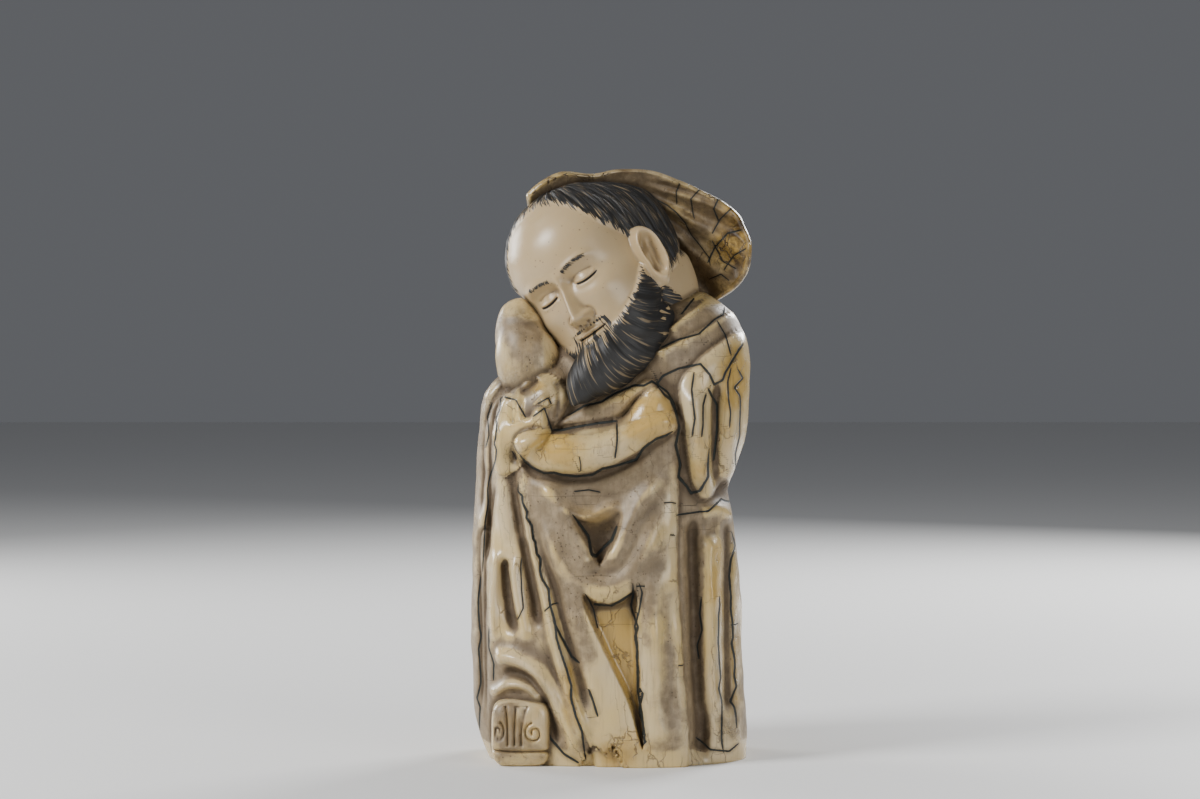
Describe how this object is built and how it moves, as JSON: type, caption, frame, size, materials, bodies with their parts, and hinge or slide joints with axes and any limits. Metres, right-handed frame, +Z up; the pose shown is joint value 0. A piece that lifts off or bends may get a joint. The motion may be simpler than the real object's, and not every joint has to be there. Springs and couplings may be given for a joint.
{
  "type": "netsuke",
  "caption": "Tall carved ivory netsuke of a bearded sage in a long robe, the head leaning on a sleeved hand under a broad soft hat, with linked cord holes in the back.",
  "frame": {"origin": "middle of the overall box, on the flat base", "axes": "+Z up, the figure faces -Y, +X to the viewer's right from the front"},
  "size_m": [0.0382, 0.0316, 0.0798],
  "materials": {
    "aged_ivory": "satin"
  },
  "bodies": {
    "root": {"netsuke": "aged_ivory"}
  },
  "joints": []
}
